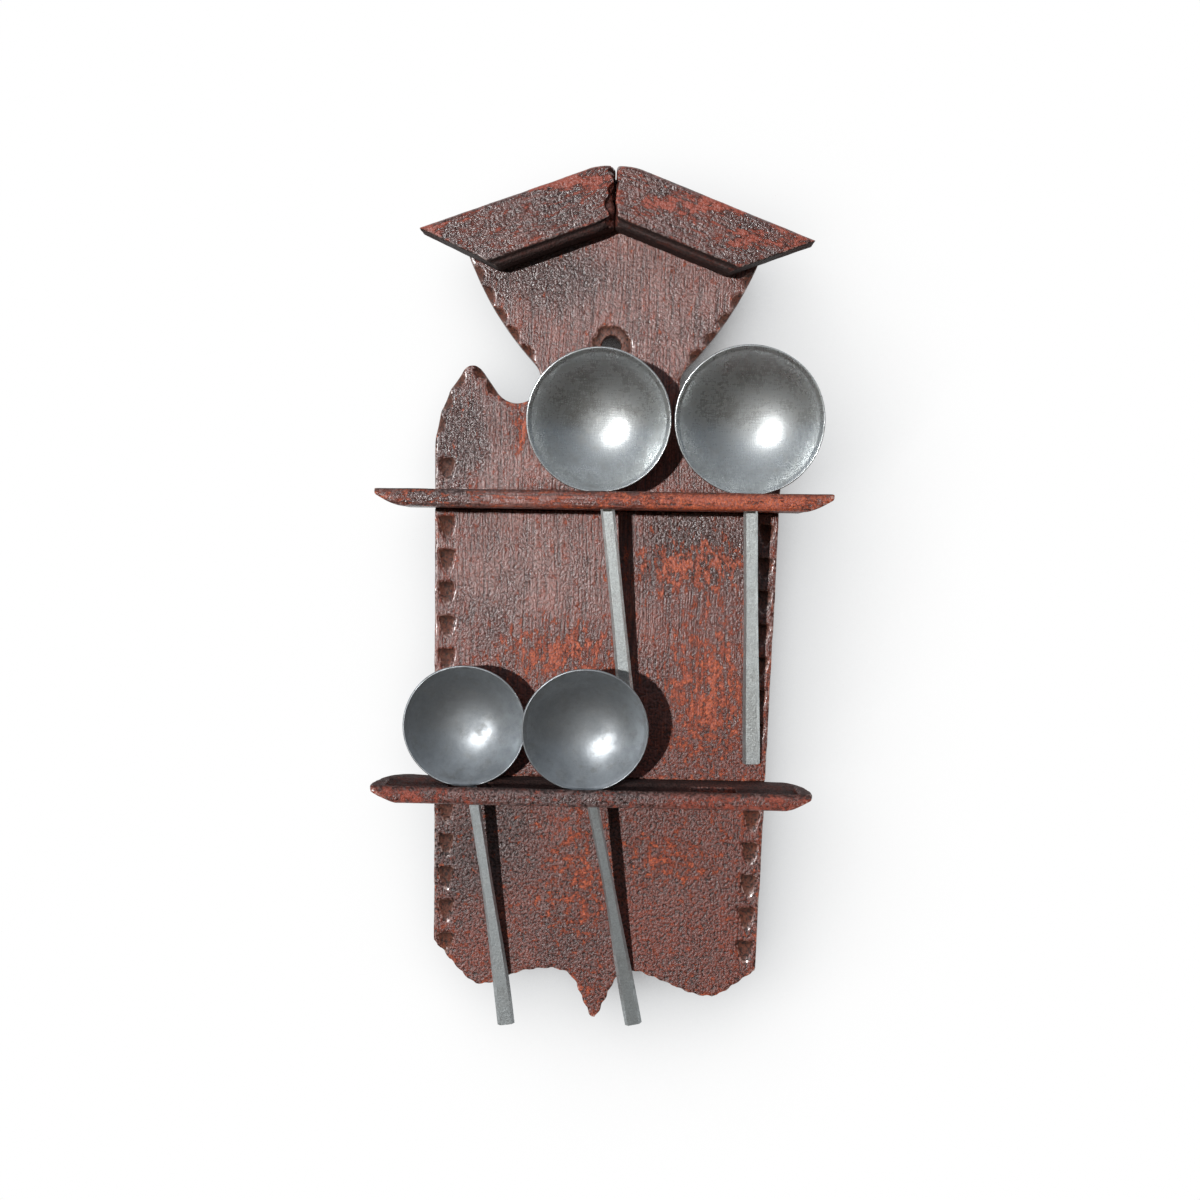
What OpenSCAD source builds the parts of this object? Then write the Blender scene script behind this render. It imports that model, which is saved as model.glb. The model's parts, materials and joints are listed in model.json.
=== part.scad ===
// Wall spoon rack of painted wood with four pewter spoons.
// Millimetres. Origin at the hanging hole on the back face, +Y into the wall, +Z up.

/* [Backboard] */
// Thickness of the board
board_t = 12; // [10:0.5:16]
// Half width of the head just under the mouldings
head_half_w = 68; // [64:0.5:72]
// Height of that head corner above the hanging hole
head_corner_z = 41; // [38:0.5:44]
// Radius of the slightly bowed side of the head
head_bow_r = 155; // [120:1:260]
// Height of the gable's peak above the hanging hole
gable_z = 76.5; // [72:0.5:78]
// Radius of the notch that makes the neck
notch_r = 11; // [8:0.5:12]
// Distance of the notch's centre from the centre line
notch_x = 43.5; // [41:0.5:47]
// Height of the notch's centre
notch_z = -17; // [-20:0.5:-14]
// Half width across the shoulders
shoulder_half_w = 81; // [78:0.5:86]
// Height at which the shoulder's curve meets the side
shoulder_z = -50; // [-56:0.5:-46]
// Radius of the shoulder's curve
shoulder_r = 60; // [50:1:66]
// Radius of the rounded peak of the shoulder
lobe_r = 5; // [3:0.5:7]
// Half width at the lower corners
foot_half_w = 75.9; // [72:0.1:80]
// Height of the left lower corner
foot_z = -281; // [-300:1:-265]
// How much lower the right lower corner lies than the left one
right_corner_drop = 10; // [0:0.5:14]
// Distance of the lower lobes from the centre line
foot_lobe_x = 54; // [48:0.5:58]
// Drop of the left lower lobe below the left corner
left_lobe_drop = 19.5; // [16:0.5:26]
// Drop of the right lower lobe below the left corner
right_lobe_drop = 22.5; // [16:0.5:26]
// Share of the left lobe's fall that is left halfway to the arch
left_lobe_fall = 0.2; // [0.1:0.05:0.6]
// Share of the right lobe's fall that is left halfway to the arch
right_lobe_fall = 0.5; // [0.1:0.05:0.6]
// Distance of the small arches from the centre line
arch_x = 19; // [16:0.5:24]
// Drop of the small arches below the left corner
arch_drop = 12; // [9:0.5:15]
// Drop of the pendant's tip below the left corner
pendant_drop = 34.6; // [28:0.2:42]
// Depth of the small serrations along the lower edge
tooth_depth = 0.9; // [0:0.1:1.5]
// Pitch of the small serrations
tooth_pitch = 6.6; // [5:0.2:10]
// Radius of the hanging hole
hole_r = 4.7; // [3:0.1:5]

/* [Carving] */
// Radius of the gouge that nicks the edges
nick_r = 5; // [4:0.5:7]
// Depth of an edge nick
nick_depth = 2.8; // [1:0.1:3.2]
// Radius of the gouge that cuts the thumbnail recesses
thumb_r = 5; // [4:0.5:6]
// Depth of a thumbnail recess at its stop
thumb_depth = 2.4; // [1.5:0.1:3]
// Length of a thumbnail recess
thumb_len = 12.5; // [10:0.5:14]
// Pitch of the thumbnail recesses
thumb_pitch = 15.5; // [15:0.5:20]
// Distance of a recess's middle from the board's edge
thumb_inset = 5.6; // [5.4:0.1:8]
// Radius of the round gouge that cuts the petals about the hole
petal_r = 8; // [6:0.5:10]
// Depth of a petal
petal_depth = 1.3; // [0.8:0.1:1.6]
// Number of petals about the hole
petal_count = 6; // [5:1:8]

/* [Shelves] */
// Height of the upper shelf's top at its middle
upper_z = -68.8; // [-74:0.2:-66]
// Height of the lower shelf's top at its middle
lower_z = -202.4; // [-206:0.2:-199]
// Slope of the upper shelf in degrees, right end up
upper_slope = 0.7; // [-1:0.1:1]
// Slope of the lower shelf in degrees, right end up
lower_slope = 0.4; // [-1:0.1:1]
// Length of the upper shelf
upper_len = 206; // [196:1:220]
// Length of the lower shelf
lower_len = 199; // [192:1:212]
// Sideways place of the upper shelf's middle
upper_shift = -1.4; // [-3:0.2:3]
// Sideways place of the lower shelf's middle
lower_shift = -3.6; // [-5:0.2:3]
// Thickness of both shelves
shelf_t = 8; // [7:0.5:10]
// How far the shelves stand out from the board's front
shelf_proj = 40; // [39:0.5:42]
// Depth of the housing that each shelf sits in
housing_depth = 3; // [2:0.5:4]
// Depth of the hollow along the upper shelf's top
upper_trough = 0.6; // [0.4:0.1:3]
// Depth of the hollow along the lower shelf's top
lower_trough = 2.5; // [1.5:0.1:3]
// Width of both hollows
trough_w = 28; // [24:0.5:29]
// Distance of the hollows' middle from the board's front
trough_out = 23.5; // [22:0.5:24.5]
// Width of a slot in the upper shelf
upper_slot_w = 17; // [15:0.5:22]
// Width of a slot in the lower shelf
lower_slot_w = 20; // [18:0.5:22]
// Front to back size of a slot
slot_d = 18; // [17:0.5:20]
// Distance of the slots' middle from the board's front
slot_out = 22; // [21:0.5:23]
// Pitch of the upper shelf's slots
upper_pitch = 66; // [64:0.5:70]
// Pitch of the lower shelf's slots
lower_pitch = 56; // [52:0.5:58]
// Length over which a shelf's end sweeps up to its tip
end_sweep = 12.5; // [8:0.5:20]
// How much shorter a shelf is at its rear edge, each end
end_cut = 12; // [8:0.5:14]
// Height of the blunt tip at a shelf's end
tip_h = 2.2; // [1.5:0.1:3.5]

/* [Mouldings] */
// Slope of the raking mouldings in degrees
rake = 20.7; // [18:0.1:23]
// Height of the mouldings' peak above the hanging hole
peak_z = 82.6; // [81:0.2:86]
// Height of a moulding's face, square to its slope
face_h = 24.5; // [22:0.1:26]
// How far the mouldings stand out from the board's front
moulding_proj = 18; // [15:0.5:19]
// Drop of the bead below the face
bead_drop = 3.6; // [3:0.1:5]
// Radius of the rounded bead
bead_r = 2.6; // [1.5:0.1:2.8]
// How far the bead stands back from the face
bead_back = 2.6; // [1.5:0.1:4]
// Reach of the left moulding's tip from the centre line
left_tip_x = 89; // [86:0.5:96]
// Reach of the right moulding's tip from the centre line
right_tip_x = 92; // [86:0.5:96]
// Reach of the face's lower edge from the centre line
heel_x = 57.5; // [54:0.5:62]

/* [Spoons] */
// Radius of the upper middle spoon's bowl
upper_middle_r = 33; // [31:0.2:33.4]
// Radius of the upper right spoon's bowl
upper_right_r = 34.2; // [31:0.2:34.4]
// Radius of the lower left spoon's bowl
lower_left_r = 28.4; // [27:0.2:29]
// Radius of the lower middle spoon's bowl
lower_middle_r = 29; // [27:0.2:29.4]
// Depth of the upper spoons' bowls
upper_bowl_depth = 16.5; // [13:0.5:17]
// Depth of the lower spoons' bowls
lower_bowl_depth = 14; // [12:0.5:14.5]
// Thickness of a bowl's wall
bowl_wall = 1.6; // [1.2:0.1:2.2]
// How much shorter the upper spoons' stems are than the drop between the shelves
upper_end_room = 7.6; // [6.6:0.2:18]
// Length of the lower left spoon's stem
lower_left_stem = 117; // [108:1:122]
// Length of the lower middle spoon's stem
lower_middle_stem = 120; // [108:1:124]
// Width of the upper stems at the bowl
upper_neck_w = 6.4; // [5:0.2:7]
// Width of the lower stems at the bowl
lower_neck_w = 5.2; // [4.6:0.2:6.4]
// Width of every stem at its end
end_w = 8; // [6.5:0.1:8.4]
// Thickness of a stem
stem_t = 3.6; // [2.8:0.1:4.2]
// Angle in degrees by which a bowl is set back from its stem
setback = 4; // [2:0.5:6]
// Distance of the upper spoons' rims from the board's front
upper_seat = 25; // [24.4:0.2:26]
// Distance of the lower left spoon's rim from the board's front
lower_left_seat = 18.6; // [18.4:0.2:19]
// Distance of the lower middle spoon's rim from the board's front
lower_middle_seat = 28; // [27.6:0.2:28.6]
// Sideways place of the upper middle bowl in its slot
upper_middle_off = -3.2; // [-4:0.2:0]
// Sideways place of the upper right bowl in its slot
upper_right_off = -1.2; // [-1.4:0.2:2]
// Sideways place of the lower left bowl in its slot
lower_left_off = -2.8; // [-3.4:0.2:-2]
// Sideways place of the lower middle bowl in its slot
lower_middle_off = -3.4; // [-3.6:0.2:-2]
// Sideways lean of the upper middle stem in degrees
upper_middle_lean = 7; // [4:0.5:9]
// Sideways lean of the upper right stem in degrees
upper_right_lean = 2.6; // [0:0.2:4]
// Sideways lean of the lower left stem in degrees
lower_left_lean = 8.6; // [5:0.2:9.4]
// Sideways lean of the lower middle stem in degrees
lower_middle_lean = 11.3; // [8:0.1:12]
// Sideways shift of the lower middle stem on its bowl
lower_middle_shift = -2.2; // [-2.6:0.2:0]

/* [Nails] */
// Width of a square nail shank under its head
nail_w = 2.6; // [2:0.1:3]
// Length of a nail
nail_len = 24; // [20:0.5:25]
// Radius of a nail head
nail_head_r = 3.4; // [2.6:0.1:3.8]
// Thickness of a nail head
nail_head_t = 1.4; // [1:0.1:1.8]
// Depth of a nail head below the board's back
nail_sink = 0.8; // [0.5:0.1:1.2]
// Distance of the inner moulding nails from the centre line
nail_in_x = 20; // [16:0.5:24]
// Distance of the outer moulding nails from the centre line
nail_out_x = 50; // [44:0.5:54]

/* [Clearances] */
// Clearance about a shelf in its housing
joint_clear = 0.15; // [0.05:0.05:0.3]
// Clearance about a nail in its hole
nail_clear = 0.1; // [0.05:0.05:0.2]
// Gap at the mitre between the mouldings
mitre_gap = 0.3; // [0.1:0.1:0.6]
// Gap between a spoon and what it rests on
seat_gap = 0.3; // [0.2:0.1:0.5]

/* [Hidden] */

$fn = 64;
wood = "#5f322b";
pewter = "#8f9295";
iron = "#3b3735";

// Distance by which a cutting solid passes the face that it cuts
over = 1;
front_y = -board_t;
upper_stem = upper_z - lower_z - upper_end_room;
gable_corner = [head_half_w, gable_z - head_half_w * tan(rake)];
lobe_angle = 38.5;
shoulder_c = [shoulder_half_w - shoulder_r, shoulder_z];
lobe_c = shoulder_c + (shoulder_r - lobe_r) * [cos(lobe_angle), sin(lobe_angle)];
neck_angle = 137;
notch_c = [notch_x, notch_z];
neck = notch_c + notch_r * [cos(neck_angle), sin(neck_angle)];
// Direction of the straight inner side of the shoulder's peak
lobe_side = lobe_c - notch_c;
lobe_side_angle = atan2(lobe_side[1], lobe_side[0]) + asin((notch_r + lobe_r) / norm(lobe_side));

// Points of an arc
function arc(c, r, from, to, steps = 16) =
    [for (i = [0:steps]) let (a = from + (to - from) * i / steps) c + r * [cos(a), sin(a)]];

// Centre of the arc of radius r from p to q, on the right-hand side of the line from p to q
function bow_centre(p, q, r) =
    let (chord = q - p, half = norm(chord) / 2, side = [chord[1], -chord[0]] / norm(chord))
    (p + q) / 2 + side * sqrt(r * r - half * half);

// Point at a share t of that arc, and the outward direction there in degrees
function bow_angle(p, q, r, t) =
    let (c = bow_centre(p, q, r), a = atan2(p[1] - c[1], p[0] - c[0]), b = atan2(q[1] - c[1], q[0] - c[0]))
    a + (b - a) * t;
function bow_point(p, q, r, t) =
    let (a = bow_angle(p, q, r, t)) bow_centre(p, q, r) + r * [cos(a), sin(a)];

// Smooth curve through a list of points
function through(p, i, t) =
    let (a = p[max(i - 1, 0)], b = p[i], c = p[i + 1], d = p[min(i + 2, len(p) - 1)])
    0.5 * (2 * b + (c - a) * t + (2 * a - 5 * b + 4 * c - d) * t * t + (3 * b - a - 3 * c + d) * t * t * t);
function smooth(p, steps) =
    concat([for (i = [0:len(p) - 2], k = [0:steps - 1]) through(p, i, k / steps)], [p[len(p) - 1]]);

// Running length along a list of points
function run(p, i = 0, sum = 0, out = []) =
    i == len(p) - 1 ? concat(out, [sum]) : run(p, i + 1, sum + norm(p[i + 1] - p[i]), concat(out, [sum]));

// A curve with small rounded teeth cut into its right-hand side
function serrated(p, depth, pitch) =
    let (s = run(p), last = len(p) - 1)
    [for (i = [0:last])
        let (along = p[min(i + 1, last)] - p[max(i - 1, 0)], side = [along[1], -along[0]] / norm(along))
        i == 0 || i == last ? p[i] : p[i] + side * depth * (1 - abs(sin(180 * s[i] / pitch)))];

// The lower edge from a corner, round a lobe and an arch, to the tip of the pendant
function lower_edge(lobe_drop, lobe_fall, corner_drop) =
    let (corner_z = foot_z - corner_drop,
         corner = [0.45 * (foot_half_w - foot_lobe_x), corner_drop + 0.58 * (lobe_drop - corner_drop)],
         lobe_out = 0.055 * foot_lobe_x,
         lobe_in = 0.11 * foot_lobe_x,
         arch_in = [0.58 * arch_x, 1.28 * arch_drop],
         waist = [0.3 * arch_x, 0.55 * (arch_drop + pendant_drop)],
         tip = [0.1 * arch_x, 0.97 * pendant_drop])
    smooth([
        [side_x(corner_z), corner_z],
        [foot_half_w - corner[0], foot_z - corner[1]],
        [foot_lobe_x + lobe_out, foot_z - lobe_drop],
        [foot_lobe_x - lobe_in, foot_z - lobe_drop],
        [(foot_lobe_x - lobe_in + arch_x) / 2, foot_z - arch_drop - lobe_fall * (lobe_drop - arch_drop)],
        [arch_x, foot_z - arch_drop],
        [arch_in[0], foot_z - arch_in[1]],
        [waist[0], foot_z - waist[1]],
        [tip[0], foot_z - tip[1]],
        [0, foot_z - pendant_drop]], 12);

left_edge = lower_edge(left_lobe_drop, left_lobe_fall, 0);
right_edge = lower_edge(right_lobe_drop, right_lobe_fall, right_corner_drop);

// The right-hand half of the board's outline, from the gable's peak to the pendant, over a lower edge
function half_outline(edge) = concat(
    [[0, gable_z], gable_corner],
    [for (i = [0:12]) bow_point([head_half_w, head_corner_z], neck, head_bow_r, i / 12)],
    arc(notch_c, notch_r, neck_angle, lobe_side_angle + 270, 18),
    arc(lobe_c, lobe_r, lobe_side_angle + 90, lobe_angle, 10),
    arc(shoulder_c, shoulder_r, lobe_angle, 0, 14),
    serrated(edge, tooth_depth, tooth_pitch));

right_half = half_outline(right_edge);
left_half = half_outline(left_edge);
outline = concat(right_half, [for (i = [len(left_half) - 2:-1:1]) [-left_half[i][0], left_half[i][1]]]);

// Half width of the board at a height on its tapered sides
function side_x(z) =
    shoulder_half_w + (foot_half_w - shoulder_half_w) * (shoulder_z - z) / (shoulder_z - foot_z);
side_tilt = atan2(shoulder_half_w - foot_half_w, shoulder_z - foot_z);

slot_columns = [-1, 0, 1];

// Height of each shelf's top at a distance from the centre line
function upper_top(x) = upper_z + (x - upper_shift) * tan(upper_slope);
function lower_top(x) = lower_z + (x - lower_shift) * tan(lower_slope);

// Nails midway between the slots and halfway down the shelf
nail_columns = [-0.5, 0.5];
upper_nail_x = [for (s = nail_columns) upper_shift + s * upper_pitch];
lower_nail_x = [for (s = nail_columns) lower_shift + s * lower_pitch];
upper_nails = [for (x = upper_nail_x) [x, upper_top(x) - shelf_t / 2]];
lower_nails = [for (x = lower_nail_x) [x, lower_top(x) - shelf_t / 2]];

// Radius of the round hollow of a given depth
function hollow_r(depth) = (trough_w * trough_w / 4 + depth * depth) / (2 * depth);

// A flat outline in X and Z, made a slab between two depths
module slab(points, from_y, to_y) {
    translate([0, to_y, 0])
        rotate([90, 0, 0])
            linear_extrude(to_y - from_y)
                polygon(points);
}

// Backboard

// Places its children on the front edge at a point, with X pointing out of the edge
module at_edge(p, out_angle) {
    translate([p[0], front_y, p[1]])
        rotate([0, -out_angle, 0])
            children();
}

// One gouge stroke across the front edge
module nick() {
    rotate([0, 0, 45])
        translate([0, nick_depth - nick_r, 0])
            rotate([0, 90, 0])
                cylinder(r = nick_r, h = 6 * nick_r, center = true);
}

// One thumbnail recess: deepest under its straight stop and running out below it
module thumbnail() {
    dive = atan2(thumb_depth, thumb_len);
    translate([0, front_y + thumb_depth - thumb_r, 0])
        rotate([180 - dive, 0, 0])
            cylinder(r = thumb_r, h = thumb_len + thumb_r);
}

// Cuts of the right-hand side, from the head down to the lower corner
module side_carving() {
    head_top = [head_half_w, head_corner_z];
    head_cuts = 5;
    for (i = [1:head_cuts])
        at_edge(bow_point(head_top, neck, head_bow_r, i / (head_cuts + 0.6)),
                bow_angle(head_top, neck, head_bow_r, i / (head_cuts + 0.6)))
            nick();
    for (a = [lobe_angle - 28, lobe_angle - 17, lobe_angle - 6])
        at_edge(shoulder_c + shoulder_r * [cos(a), sin(a)], a)
            nick();
    inner_top = lobe_c + lobe_r * [cos(lobe_side_angle + 90), sin(lobe_side_angle + 90)];
    inner_low = notch_c + notch_r * [cos(lobe_side_angle - 90), sin(lobe_side_angle - 90)];
    for (t = [0.05, 0.75])
        at_edge(inner_top + (inner_low - inner_top) * t, lobe_side_angle + 90)
            nick();
    first_drop = 4;
    recess_at(shoulder_z - first_drop);
    for (z = [upper_z - shelf_t - first_drop:-thumb_pitch:lower_z + thumb_len + first_drop])
        recess_at(z);
    for (z = [lower_z - shelf_t - first_drop:-thumb_pitch:foot_z + first_drop])
        recess_at(z);
}

module recess_at(z) {
    translate([side_x(z) - thumb_inset, 0, z])
        rotate([0, side_tilt, 0])
            thumbnail();
}

module petals() {
    reach = sqrt(petal_r * petal_r - (petal_r - petal_depth) * (petal_r - petal_depth));
    land = 0.6;
    for (i = [0:petal_count - 1])
        rotate([0, i * 360 / petal_count, 0])
            translate([hole_r + land + reach, front_y + petal_depth - petal_r, 0])
                sphere(r = petal_r);
}

// Puts a shelf's own frame, with its top's middle at the origin, in its place on the board
module place_upper() {
    translate([upper_shift, 0, upper_z])
        rotate([0, -upper_slope, 0])
            children();
}

module place_lower() {
    translate([lower_shift, 0, lower_z])
        rotate([0, -lower_slope, 0])
            children();
}

// Housing across the board's front for a shelf
module housing() {
    half = upper_len / 2;
    translate([-half, front_y - over, -shelf_t - joint_clear])
        cube([2 * half, housing_depth + over, shelf_t + 2 * joint_clear]);
}

module backboard() {
    color(wood)
    difference() {
        slab(outline, front_y, 0);
        translate([0, over, 0])
            rotate([90, 0, 0])
                cylinder(r = hole_r, h = board_t + 2 * over);
        place_upper()
            housing();
        place_lower()
            housing();
        petals();
        side_carving();
        mirror([1, 0, 0])
            side_carving();
        nail_row(upper_nails, nail_clear);
        nail_row(lower_nails, nail_clear);
        moulding_nail_pair(nail_clear);
        mirror([1, 0, 0])
            moulding_nail_pair(nail_clear);
    }
}

// Shelves

// Front view of a shelf with its ends swept up underneath
module shelf_front(length) {
    half = length / 2;
    steps = 8;
    sweep = [for (i = [0:steps]) let (t = i / steps)
        [half - end_sweep * t, -tip_h - (shelf_t - tip_h) * (sin(90 * t) + t) / 2]];
    far_sweep = [for (i = [steps:-1:0]) [-sweep[i][0], sweep[i][1]]];
    points = concat([[-half, 0], [half, 0]], sweep, far_sweep);
    slab(points, front_y - shelf_proj - over, front_y + housing_depth + over);
}

// Plan of a shelf, with its ends cut back in a curve towards the rear
module shelf_plan(length) {
    half = length / 2;
    depth = shelf_proj + housing_depth;
    steps = 8;
    nose = 5;
    corner = [for (i = [0:steps]) let (a = 90 * i / steps)
        [half - end_cut * (1 - cos(a)), nose + (depth - nose) * sin(a)]];
    far_corner = [for (i = [steps:-1:0]) [-corner[i][0], corner[i][1]]];
    points = concat([[1 - half, 0], [half - 1, 0]], corner, far_corner);
    translate([0, front_y - shelf_proj, -shelf_t - over])
        linear_extrude(shelf_t + 2 * over)
            polygon(points);
}

// Section of a shelf with a softened front edge
module shelf_section(length) {
    soft = shelf_t * 0.3;
    nose = concat(arc([soft, -soft], soft, 90, 180, 6), arc([soft, soft - shelf_t], soft, 180, 270, 6));
    depth = shelf_proj + housing_depth;
    translate([-length / 2 - over, front_y - shelf_proj, 0])
        rotate([90, 0, 90])
            linear_extrude(length + 2 * over)
                polygon(concat([[depth, -shelf_t], [depth, 0]], nose));
}

module shelf(length, pitch, slot_w, trough_depth) {
    trough_r = hollow_r(trough_depth);
    difference() {
        intersection() {
            shelf_front(length);
            shelf_plan(length);
            shelf_section(length);
        }
        translate([0, front_y - trough_out, trough_r - trough_depth])
            rotate([0, 90, 0])
                cylinder(r = trough_r, h = length - end_sweep, center = true, $fn = 128);
        for (i = slot_columns)
            translate([i * pitch - slot_w / 2, front_y - slot_out - slot_d / 2, -shelf_t - over])
                cube([slot_w, slot_d, shelf_t + 2 * over]);
    }
}

module upper_shelf() {
    color(wood)
    difference() {
        place_upper()
            shelf(upper_len, upper_pitch, upper_slot_w, upper_trough);
        nail_row(upper_nails, nail_clear);
    }
}

module lower_shelf() {
    color(wood)
    difference() {
        place_lower()
            shelf(lower_len, lower_pitch, lower_slot_w, lower_trough);
        nail_row(lower_nails, nail_clear);
    }
}

// Mouldings

// Height of the face's middle line and of its lower edge at a distance from the centre
function face_mid_z(x) = peak_z - x * tan(rake) - face_h / cos(rake) / 2;
function face_low_z(x) = peak_z - x * tan(rake) - face_h / cos(rake);

// A raking moulding of the right-hand side: a flat face over a bead, cut to a point at its outer end
module moulding(tip_x) {
    soft = 1.2;
    quirk = 0.8;
    bead = arc([moulding_proj - bead_back - bead_r, bead_r - bead_drop], bead_r, 270, 360, 8);
    section = concat(
        [[0, face_h], [0, -bead_drop]],
        bead,
        [[moulding_proj - bead_back, -quirk], [moulding_proj, 0]],
        [[moulding_proj, face_h - soft], [moulding_proj - soft, face_h]]);
    tip = [tip_x, peak_z - tip_x * tan(rake)];
    heel = [heel_x, face_low_z(heel_x)];
    view = [
        [mitre_gap / 2, peak_z + over], [tip_x, peak_z + over], tip,
        tip + 2 * (heel - tip), [mitre_gap / 2, face_low_z(0) - 2 * bead_drop]];
    run_out = face_h + bead_drop;
    difference() {
        intersection() {
            translate([0, front_y, peak_z])
                rotate([0, rake, 0])
                    translate([-run_out, 0, -face_h])
                        mirror([0, 1, 0])
                            rotate([90, 0, 90])
                                linear_extrude(tip_x / cos(rake) + 2 * run_out)
                                    polygon(section);
            slab(view, front_y - moulding_proj - over, front_y + over);
        }
        moulding_nail_pair(nail_clear);
    }
}

module right_moulding() {
    color(wood)
        moulding(right_tip_x);
}

module left_moulding() {
    color(wood)
        mirror([1, 0, 0])
            moulding(left_tip_x);
}

// Nails

// A square tapered nail driven along -Y from the board's back, grown by a clearance
module nail(grow) {
    half = nail_w / 2 + grow;
    tip = 0.4 + grow;
    reach = nail_len + grow;
    waist = reach * 0.55;
    taper = [[-half, 0], [half, 0], [half, -waist], [tip, -reach], [-tip, -reach], [-half, -waist]];
    head_y = grow > 0 ? over : -nail_sink;
    intersection() {
        translate([0, 0, -half])
            linear_extrude(2 * half)
                translate([0, -nail_sink])
                    polygon(taper);
        rotate([0, 90, 0])
            translate([0, 0, -half])
                linear_extrude(2 * half)
                    translate([0, -nail_sink])
                        polygon(taper);
    }
    translate([0, head_y, 0])
        rotate([90, 0, 0])
            cylinder(r = nail_head_r + grow, h = head_y + nail_sink + nail_head_t + grow);
}

module nail_row(places, grow) {
    for (p = places)
        translate([p[0], 0, p[1]])
            nail(grow);
}

module moulding_nail_pair(grow) {
    for (x = [nail_in_x, nail_out_x])
        translate([x, 0, face_mid_z(x)])
            nail(grow);
}

module upper_shelf_nails() {
    color(iron)
        nail_row(upper_nails, 0);
}

module lower_shelf_nails() {
    color(iron)
        nail_row(lower_nails, 0);
}

module right_moulding_nails() {
    color(iron)
        moulding_nail_pair(0);
}

module left_moulding_nails() {
    color(iron)
        mirror([1, 0, 0])
            moulding_nail_pair(0);
}

// Spoons

// Height of the hollow's surface above its lowest line, at a distance from the board
function hollow_rise(depth, seat) =
    let (r = hollow_r(depth)) r - sqrt(r * r - (seat - trough_out) * (seat - trough_out));

// Backward tilt that brings a stem up to the board at a given length down it
function stem_tilt(seat, touch) =
    asin((seat - seat_gap) / sqrt(touch * touch + stem_t * stem_t)) - atan2(stem_t, touch);

// Lowest point of the board's lower edge behind a stem that crosses it at x
function edge_low(x) =
    min([for (p = x < 0 ? left_edge : right_edge) if (abs(p[0] - abs(x)) < end_w) p[1]]);

// Length down a lower stem at which it meets the board's lower edge
function lower_touch(bowl_x, r, seat, lean, length, shift) =
    let (foot_x = bowl_x + (r + length) * sin(lean) + shift * cos(lean),
         drop = lower_top(bowl_x) - lower_trough - edge_low(foot_x))
    min(length, drop / cos(lean) / cos(stem_tilt(seat, drop)));

module bowl(r, depth) {
    ball = (r * r + depth * depth) / (2 * depth);
    intersection() {
        translate([0, depth - ball, 0])
            sphere(r = ball, $fn = 128);
        translate([-r - over, 0, -r - over])
            cube([2 * (r + over), depth + over, 2 * (r + over)]);
    }
}

module bowl_hollow(r, depth) {
    ball = (r * r + depth * depth) / (2 * depth);
    translate([0, depth - ball, 0])
        sphere(r = ball - bowl_wall, $fn = 128);
}

// A flat stem hanging from the origin, widening towards its end, its front face in the plane Y = 0
module stem(length, neck_w) {
    root = 6;
    steps = 8;
    right = [for (i = [0:steps]) let (t = i / steps) [(neck_w + (end_w - neck_w) * t * t) / 2, -length * t]];
    left = [for (i = [steps:-1:0]) [-right[i][0], right[i][1]]];
    slab(concat([[neck_w / 2, root]], right, left, [[-neck_w / 2, root]]), 0, stem_t);
}

// A spoon whose bowl rests on the edges of its slot and whose stem leans back to the board
module spoon(r, depth, bowl_x, off, slot_w, top_z, seat, touch, lean, length, neck_w, shift = 0) {
    tilt = stem_tilt(seat, touch);
    face = tilt - setback;
    contact = slot_w / 2 - abs(off);
    centre = [
        bowl_x,
        front_y - seat - r * sin(face),
        top_z + sqrt(r * r - contact * contact) * cos(face) + seat_gap];
    color(pewter)
    translate(centre)
        rotate([face, -lean, 0])
            difference() {
                union() {
                    bowl(r, depth);
                    translate([shift, 0, -r])
                        rotate([setback, 0, 0])
                            stem(length, neck_w);
                }
                bowl_hollow(r, depth);
            }
}

module upper_spoon(r, column, off, lean) {
    bowl_x = upper_shift + column * upper_pitch + off;
    top_z = upper_top(bowl_x) - upper_trough + hollow_rise(upper_trough, upper_seat);
    spoon(r, upper_bowl_depth, bowl_x, off, upper_slot_w, top_z, upper_seat, upper_stem, lean,
          upper_stem, upper_neck_w);
}

module lower_spoon(r, column, off, seat, lean, length, shift = 0) {
    bowl_x = lower_shift + column * lower_pitch + off;
    top_z = lower_top(bowl_x) - lower_trough + hollow_rise(lower_trough, seat);
    touch = lower_touch(bowl_x, r, seat, lean, length, shift);
    spoon(r, lower_bowl_depth, bowl_x, off, lower_slot_w, top_z, seat, touch, lean,
          length, lower_neck_w, shift);
}

module upper_middle_spoon() {
    upper_spoon(upper_middle_r, 0, upper_middle_off, upper_middle_lean);
}

module upper_right_spoon() {
    upper_spoon(upper_right_r, 1, upper_right_off, upper_right_lean);
}

module lower_left_spoon() {
    lower_spoon(lower_left_r, -1, lower_left_off, lower_left_seat, lower_left_lean, lower_left_stem);
}

module lower_middle_spoon() {
    lower_spoon(lower_middle_r, 0, lower_middle_off, lower_middle_seat, lower_middle_lean,
                lower_middle_stem, lower_middle_shift);
}

backboard();
upper_shelf();
lower_shelf();
left_moulding();
right_moulding();
upper_shelf_nails();
lower_shelf_nails();
left_moulding_nails();
right_moulding_nails();
upper_middle_spoon();
upper_right_spoon();
lower_left_spoon();
lower_middle_spoon();
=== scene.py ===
# %% [markdown]
# # A carved wall rack with pewter spoons
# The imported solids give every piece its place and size. This lesson dresses them: the wooden pieces
# become worn, paint-crusted copies, and the spoons are spun and drawn again with finer forms.

# %% Load the solids
import json
import math

import bmesh
import bpy
import numpy as np
from mathutils import Matrix, Vector, noise


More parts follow.
